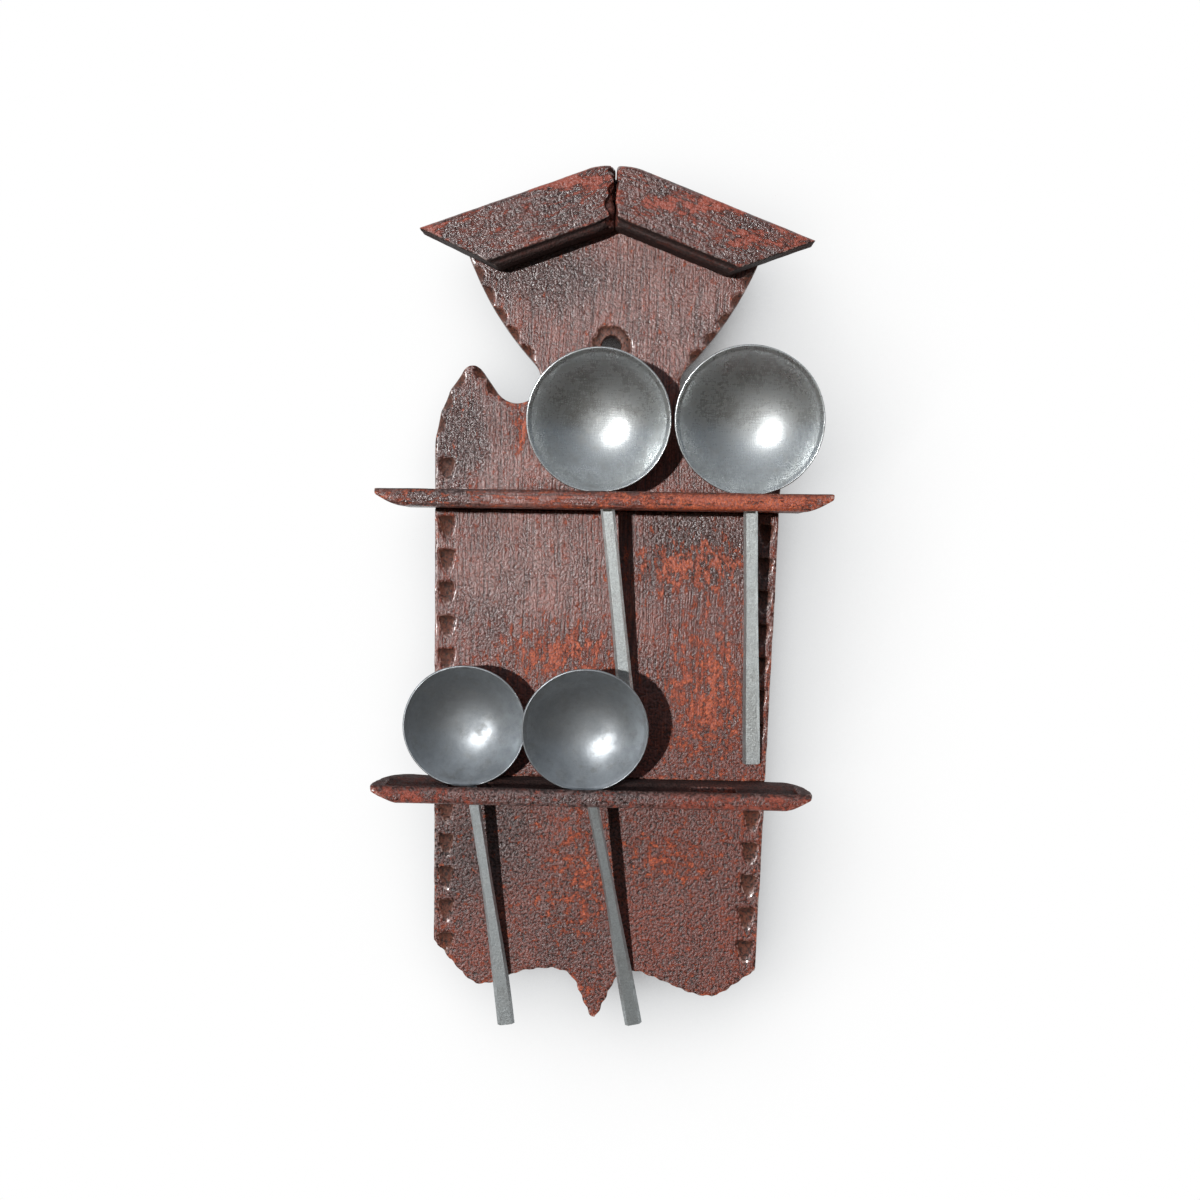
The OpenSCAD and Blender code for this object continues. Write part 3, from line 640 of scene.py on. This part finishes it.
def make_stem_tree():
    """The tree that draws a stem, and the identifier of each of its inputs."""
    tree = bpy.data.node_groups.new("drawn_stem", "GeometryNodeTree")
    face = tree.interface
    sockets = {"Path": face.new_socket("Path", in_out="INPUT", socket_type="NodeSocketGeometry")}
    for name in ("Neck Width", "End Width", "Thickness", "Chamfer"):
        sockets[name] = face.new_socket(name, in_out="INPUT", socket_type="NodeSocketFloat")
    sockets["Finish"] = face.new_socket("Finish", in_out="INPUT", socket_type="NodeSocketMaterial")
    face.new_socket("Stem", in_out="OUTPUT", socket_type="NodeSocketGeometry")
    put = tree.nodes.new
    given, done = put("NodeGroupInput"), put("NodeGroupOutput")
    curve, even = put("GeometryNodeMeshToCurve"), put("GeometryNodeResampleCurve")
    even.inputs["Count"].default_value = STEM_RINGS
    way, caught = put("GeometryNodeSplineParameter"), put("GeometryNodeCaptureAttribute")
    caught.capture_items.new("FLOAT", "Way")
    root = put("ShaderNodeMapRange")
    root.inputs["From Max"].default_value, root.inputs["To Min"].default_value = TAIL_SHARE, TAIL_SCALE
    bar, chamfer = put("GeometryNodeCurvePrimitiveQuadrilateral"), put("GeometryNodeFilletCurve")
    swept = put("GeometryNodeCurveToMesh")
    swept.inputs["Fill Caps"].default_value = True
    widen, share, place = put("ShaderNodeMapRange"), put("ShaderNodeMath"), put("GeometryNodeInputPosition")
    widen.interpolation_type, share.operation = "SMOOTHERSTEP", "DIVIDE"
    widen.inputs["From Min"].default_value = WIDEN_FROM
    across, grown = put("ShaderNodeCombineXYZ"), put("ShaderNodeVectorMath")
    across.inputs["Y"].default_value = across.inputs["Z"].default_value = 1.0
    grown.operation = "MULTIPLY"
    moved, real = put("GeometryNodeSetPosition"), put("GeometryNodeRealizeInstances")
    finish = put("GeometryNodeSetMaterial")
    link_all(
        tree, (given.outputs["Path"], curve.inputs[0]), (curve.outputs[0], even.inputs["Curve"]),
        (even.outputs[0], caught.inputs[0]), (way.outputs["Factor"], caught.inputs["Way"]),
        (caught.outputs[0], swept.inputs["Curve"]), (way.outputs["Factor"], root.inputs["Value"]),
        (root.outputs[0], swept.inputs["Scale"]), (given.outputs["End Width"], bar.inputs["Width"]),
        (given.outputs["Thickness"], bar.inputs["Height"]), (bar.outputs[0], chamfer.inputs["Curve"]),
        (given.outputs["Chamfer"], chamfer.inputs["Radius"]),
        (chamfer.outputs[0], swept.inputs["Profile Curve"]), (swept.outputs[0], moved.inputs["Geometry"]),
        (caught.outputs["Way"], widen.inputs["Value"]),
        (given.outputs["Neck Width"], widen.inputs["To Min"]),
        (given.outputs["End Width"], widen.inputs["To Max"]), (widen.outputs[0], share.inputs[0]),
        (given.outputs["End Width"], share.inputs[1]), (share.outputs[0], across.inputs["X"]),
        (place.outputs[0], grown.inputs[0]), (across.outputs[0], grown.inputs[1]),
        (grown.outputs[0], moved.inputs["Position"]), (moved.outputs[0], real.inputs[0]),
        (real.outputs[0], finish.inputs["Geometry"]), (given.outputs["Finish"], finish.inputs["Material"]),
        (finish.outputs[0], done.inputs[0]))
    return tree, {name: socket.identifier for name, socket in sockets.items()}


stem_tree, stem_sockets = make_stem_tree()
print("stem tree inputs:", list(stem_sockets))

# %% [markdown]
# Each spoon is worked out in its own frame, with the rim in the plane Y = 0, the hollow facing -Y and the
# stem going down. A spoon lifts along its stem, so the axis of its joint gives its tilt, and its solid,
# turned upright, gives the size of the bowl, the length of the stem and the place of the rim's middle. What
# no solid shows is listed for each spoon: how far a stem bows, how far it sits off the bowl's middle, and how
# far off that middle the hollow is deepest.

# %% Sizes and places of the spoons
SETBACK = math.radians(4.0)
STEM_T = 3.6
END_W = 8.0
HANDWORK = {"upper_middle_spoon": dict(neck=6.4, shift=0.0, end_shift=0.0, bow=0.3, deep=(0.0, -3.2)),
            "upper_right_spoon": dict(neck=6.4, shift=0.0, end_shift=0.0, bow=0.0, deep=(0.8, -3.2)),
            "lower_left_spoon": dict(neck=5.2, shift=-0.6, end_shift=0.0, bow=1.0, deep=(3.0, -2.0)),
            "lower_middle_spoon": dict(neck=5.2, shift=-4.2, end_shift=-2.2, bow=0.4, deep=(3.0, -1.6))}


def measured(node):
    """Sizes of a spoon in millimetres, and the matrix that sets it in its slot."""
    axis = next(Vector(joint["axis"]) for joint in frame["joints"] if joint["child"] == node)
    lean = Matrix.Rotation(math.atan2(axis.x, axis.z), 4, "Y")
    face = Matrix.Rotation(math.asin(-axis.y) - SETBACK, 4, "X")
    turn = lean @ face
    upright = np.array([turn.inverted() @ v.co for v in frame["nodes"][node].data.vertices])
    low, high = upright.min(0), upright.max(0)
    r = (high[0] - low[0]) / 2
    middle = Vector(((low[0] + high[0]) / 2, low[1], high[2] - r))
    length = (middle.z - r - low[2]) / MM / math.cos(SETBACK)
    return dict(r=r / MM, depth=(high[1] - low[1]) / MM, length=length,
                place=turn @ Matrix.Translation(middle), **HANDWORK[node])


def back_ball(size):
    """Radius of the ball that the back of a bowl follows, and the angle from its pole to the rim."""
    ball = (size["r"] * size["r"] + size["depth"] * size["depth"]) / (2 * size["depth"])
    return ball, math.asin(size["r"] / ball)


SPOONS = {node: measured(node) for node in HANDWORK}
for node, size in SPOONS.items():
    print(node, {name: round(float(size[name]), 2) for name in ("r", "depth", "length")})

# %% [markdown]
# A bowl could be a cut sphere, but a cast and scoured bowl is flatter in its middle than a sphere and its
# rim is not quite true. So a profile is spun: the outside is round, the inside follows a power
# curve that is deepest a little off the middle, and the rim carries slight seeded waves.

# %% The bowls
TURNS = 144
BACK_RINGS = 26
HOLLOW_RINGS = 40
HOLLOW_POWER = 2.4
BOWL_WALL = 1.6
LIP_WIDTH = 1.1
RIM = ((0.02, 0.6), (0.1, 0.25), (0.35, 0.05), (0.6, 0.0), (0.85, 0.1), (1.0, 0.35))
WAVE_PACE = 1.6
WAVE_REACH = 0.22
WAVE_RISE = 0.12
WAVE_LAG = 20


def bowl_profile(size):
    """Radius and depth of each ring, from the back's middle over the rim to the hollow's middle."""
    r, depth = size["r"], size["depth"]
    ball, last = back_ball(size)
    outside = []
    for k in range(1, BACK_RINGS):
        a = last * k / BACK_RINGS
        outside.append((ball * math.sin(a), depth - ball + ball * math.cos(a)))
    rim = [(r - inset, y) for inset, y in RIM]
    inside = []
    for k in range(1, HOLLOW_RINGS):
        share = 1 - k / HOLLOW_RINGS
        inside.append(((r - LIP_WIDTH) * share, (depth - BOWL_WALL) * (1 - share ** HOLLOW_POWER)))
    return outside + rim + inside, len(outside)


def make_bowl(name, size, seed):
    """A bowl in its slot, spun ring by ring and closed at both middles."""
    rings, rim_start = bowl_profile(size)
    deep_x, deep_z = size["deep"]
    angles = [2 * math.pi * k / TURNS for k in range(TURNS)]
    wave = [noise.noise(Vector((math.cos(a) * WAVE_PACE, math.sin(a) * WAVE_PACE, seed))) for a in angles]
    build = bmesh.new()
    rows = []
    for index, (radius, y) in enumerate(rings):
        near_rim = (radius / size["r"]) ** 6
        drawn = 1 - radius / size["r"] if index >= rim_start else 0.0
        row = []
        for k, a in enumerate(angles):
            reach = radius - WAVE_REACH * near_rim * (1 + wave[k])
            row.append(build.verts.new(((reach * math.cos(a) + drawn * deep_x) * MM,
                                        (y + WAVE_RISE * near_rim * wave[k - WAVE_LAG]) * MM,
                                        (reach * math.sin(a) + drawn * deep_z) * MM)))
        rows.append(row)
    for one, two in zip(rows, rows[1:]):
        for k in range(TURNS):
            build.faces.new((one[k - 1], one[k], two[k], two[k - 1]))
    back_middle = (0, size["depth"], 0)
    hollow_middle = (deep_x, size["depth"] - BOWL_WALL, deep_z)
    for row, spot in ((rows[0], back_middle), (rows[-1], hollow_middle)):
        middle = build.verts.new([v * MM for v in spot])
        for k in range(TURNS):
            build.faces.new((row[k - 1], row[k], middle))
    bmesh.ops.recalc_face_normals(build, faces=build.faces)
    mesh = bpy.data.meshes.new(name)
    build.to_mesh(mesh)
    build.free()
    mesh.shade_smooth()
    mesh.transform(size["place"])
    piece = bpy.data.objects.new(name, mesh)
    scene.collection.objects.link(piece)
    return piece


for seed, (node, size) in enumerate(SPOONS.items(), 21):
    bowl = make_bowl(node.replace("spoon", "bowl"), size, seed)
    dress(bowl, bowl_pewter if node.startswith("upper") else grey_pewter, node, "pewter", node)

# %% [markdown]
# The stem's path begins on the back of the bowl, a little outside its skin, and bows slightly to one side as
# hand-worked stems do. The tree above turns it into the bar, which is thick enough to stay joined.

# %% The stems
TAIL = ((15, 0.3), (11, 0.6), (7.5, 0.9), (4.5, 1.2))
STEM_STEPS = 24
STEM_START = 0.02
STEM_CHAMFER = 1.4


def stem_path(size):
    """Points down the middle of a stem, from the back of the bowl to its end."""
    ball, last = back_ball(size)
    tail = []
    for inward, out in TAIL:
        a = last - inward / ball
        tail.append(Vector((size["shift"], size["depth"] - ball + (ball + out) * math.cos(a),
                            -(ball + out) * math.sin(a))))
    turn = Matrix.Rotation(SETBACK, 3, "X")
    neck = Vector((size["shift"], 0, -size["r"]))
    bar = []
    for k in range(STEM_STEPS + 1):
        t = STEM_START + (1 - STEM_START) * k / STEM_STEPS
        side = (size["end_shift"] - size["shift"]) * t + size["bow"] * 4 * t * (1 - t)
        bar.append(neck + turn @ Vector((side, STEM_T / 2, -size["length"] * t)))
    return [p * MM for p in tail + bar]


def make_stem(name, size, finish):
    """A stem in its slot, drawn along its path by the tree."""
    path = stem_path(size)
    mesh = bpy.data.meshes.new(name)
    mesh.from_pydata(path, [(k, k + 1) for k in range(len(path) - 1)], [])
    piece = bpy.data.objects.new(name, mesh)
    scene.collection.objects.link(piece)
    drawn = piece.modifiers.new("drawn", "NODES")
    drawn.node_group = stem_tree
    for label, value in {"Neck Width": size["neck"] * MM, "End Width": END_W * MM, "Thickness": STEM_T * MM,
                         "Chamfer": STEM_CHAMFER * MM, "Finish": finish}.items():
        drawn[stem_sockets[label]] = value
    made = baked(piece)
    made.shade_flat()
    made.transform(size["place"])
    return piece


for node, size in SPOONS.items():
    # The lower stems take the darker copy, which is painted shade.
    finish = stem_pewter if node.startswith("upper") else shaded_stem_pewter
    stem = make_stem(node.replace("spoon", "stem"), size, finish)
    dress(stem, finish, node, "pewter", node)

# %% [markdown]
# The rack hangs against a plain white wall. A lit plane would be uneven and would shade the back, so this
# one glows by itself. Only camera, glossy and transmission rays see it, and only from in front, so it never
# shuts out light or a view of the back. Its soft shadow is what the rack hides of an open sky to the upper
# left.

# %% The wall
WALL_Y = 14.0
WALL_HALF = 3000.0
SKY_WAY = {"X": -0.45, "Y": -0.75, "Z": 0.45}
SHADOW_REACH = 110.0
SHADOW_STOPS = [(0.26, srgb(26, 19, 16)), (0.33, srgb(165, 165, 166)),
                (0.52, srgb(215, 216, 217)), (0.93, (1, 1, 1, 1))]


def white_wall():
    """A glow that darkens where the rack hides the sky, and nothing at all from behind."""
    material = bpy.data.materials.new("white_wall")
    material.use_nodes = True
    tree = material.node_tree
    tree.nodes.clear()
    path = tree.nodes.new("ShaderNodeLightPath")
    side = Wire(tree, tree.nodes.new("ShaderNodeNewGeometry").outputs["Backfacing"])
    seen = Wire(tree, path.outputs["Is Camera Ray"]).most(Wire(tree, path.outputs["Is Glossy Ray"]))
    seen = seen.most(Wire(tree, path.outputs["Is Transmission Ray"])) * (1.0 - side)
    tilt = side.node("CombineXYZ", SKY_WAY)
    open_sky = side.node("AmbientOcclusion", {"Distance": SHADOW_REACH * MM, "Normal": tilt},
                         out=1, samples=24)
    shade = open_sky.node("ValToRGB", {0: open_sky}, stops=SHADOW_STOPS)
    glow = side.node("Emission", {"Color": shade, "Strength": 1.0})
    clear = side.node("BsdfTransparent", {})
    out = tree.nodes.new("ShaderNodeOutputMaterial")
    shown = side.node("MixShader", {0: seen, 1: clear, 2: glow})
    tree.links.new(shown.socket, out.inputs["Surface"])
    return material


corners = [(x * WALL_HALF * MM, WALL_Y * MM, z * WALL_HALF * MM)
           for x, z in ((-1, -1), (1, -1), (1, 1), (-1, 1))]
mesh = bpy.data.meshes.new("wall")
mesh.from_pydata(corners, [], [(0, 1, 2, 3)])
wall = bpy.data.objects.new("wall", mesh)
scene.collection.objects.link(wall)
mesh.materials.append(white_wall())
print("wall faces", tuple(mesh.polygons[0].normal))

# %% [markdown]
# One far lamp in front, to the left and a little above, throws shadows to the right and keeps them fairly
# crisp. Two soft lamps, one behind the rack and one on its right, fill in the sides that the first can't
# reach. A lamp that metal mirrors shows as a white square, so those two are hidden from glossy rays.

# %% Lamps
KEY_POWER = 3.2
KEY_WIDTH = math.radians(1.6)
KEY_WAY = Vector((0.34, 0.94, -0.05))
FILL_SIZE = 1.6
MIDDLE = (cad_low + cad_high) / 2

key = bpy.data.lights.new("key", "SUN")
key.energy, key.angle = KEY_POWER, KEY_WIDTH
lamp = bpy.data.objects.new("key", key)
lamp.rotation_euler = KEY_WAY.to_track_quat("-Z", "Y").to_euler()
scene.collection.objects.link(lamp)
for name, power, place in (("back_fill", 16.0, (-0.6, 2.2, 0.9)), ("side_fill", 14.0, (2.0, 0.35, 0.5))):
    fill = bpy.data.lights.new(name, "AREA")
    fill.energy, fill.size = power, FILL_SIZE
    softbox = bpy.data.objects.new(name, fill)
    softbox.location = place
    softbox.rotation_euler = (MIDDLE - softbox.location).to_track_quat("-Z", "Y").to_euler()
    softbox.visible_glossy = False
    scene.collection.objects.link(softbox)
print("lamps:", [light.name for light in bpy.data.lights])

# %% [markdown]
# The room is a pale ceiling over a darker, warm ground, dimmer on the right, and that is what the bowls
# mirror: the ground in their upper half and the sky in their lower half. An image of a room could do this,
# but a ramp from floor to ceiling is enough for such soft shapes. The camera sees plain white instead, and
# so do glossy and transmission rays that go on behind the rack.

# %% The room
ROOM_STOPS = [(0.0, (0.05, 0.045, 0.04, 1)), (0.46, (0.092, 0.077, 0.056, 1)),
              (0.53, (0.24, 0.28, 0.335, 1)), (0.75, (0.42, 0.46, 0.51, 1)), (1.0, (0.5, 0.53, 0.57, 1))]
RIGHT_DIMMED = 0.5

world = bpy.data.worlds.new("room")
world.use_nodes = True
scene.world = world
tree = world.node_tree
tree.nodes.clear()
way = Wire(tree, tree.nodes.new("ShaderNodeTexCoord").outputs["Generated"])
rise = way.part(2) * 0.5 + 0.5
room = rise.node("ValToRGB", {0: rise}, stops=ROOM_STOPS)
around = room.node("Background", {"Color": room, "Strength": 1.0 - RIGHT_DIMMED * way.part(0).most(0.0)})
plain = room.node("Background", {"Color": (1, 1, 1, 1), "Strength": 1.0})
rays = tree.nodes.new("ShaderNodeLightPath").outputs
mirrored = Wire(tree, rays["Is Glossy Ray"]).most(Wire(tree, rays["Is Transmission Ray"]))
white = Wire(tree, rays["Is Camera Ray"]).most(mirrored * way.part(1).step(0.0, 0.1))
sky = room.node("MixShader", {0: white, 1: around, 2: plain})
tree.links.new(sky.socket, tree.nodes.new("ShaderNodeOutputWorld").inputs["Surface"])
scene.view_settings.view_transform = "Standard"
print("room:", len(tree.nodes), "nodes")

# %% [markdown]
# The camera stands where the photograph was taken from: nearly straight in front and a little above the
# rack's middle, looking slightly down. A camera starts out looking at the floor, so the last of its turns
# brings it upright, and the three before it are the small ones.

# %% Camera
SENSOR = 36.0
FOCAL_LENGTH = 53.7
EYE = (3.73, -847.7, -90.9)
TURN = 0.40
NOD = -1.90
ROLL = -1.57

lens = bpy.data.cameras.new("camera")
lens.sensor_width = SENSOR
lens.lens = FOCAL_LENGTH
eye = bpy.data.objects.new("camera", lens)
aim = Matrix.Identity(4)
for degrees, axis in ((TURN, "Z"), (NOD, "X"), (ROLL, "Y"), (90, "X")):
    aim = aim @ Matrix.Rotation(math.radians(degrees), 4, axis)
eye.matrix_world = Matrix.Translation([v * MM for v in EYE]) @ aim
scene.collection.objects.link(eye)
scene.camera = eye
print("camera:", lens.lens, "mm lens,", round(EYE[2] - MIDDLE.z / MM), "mm above the rack's middle")
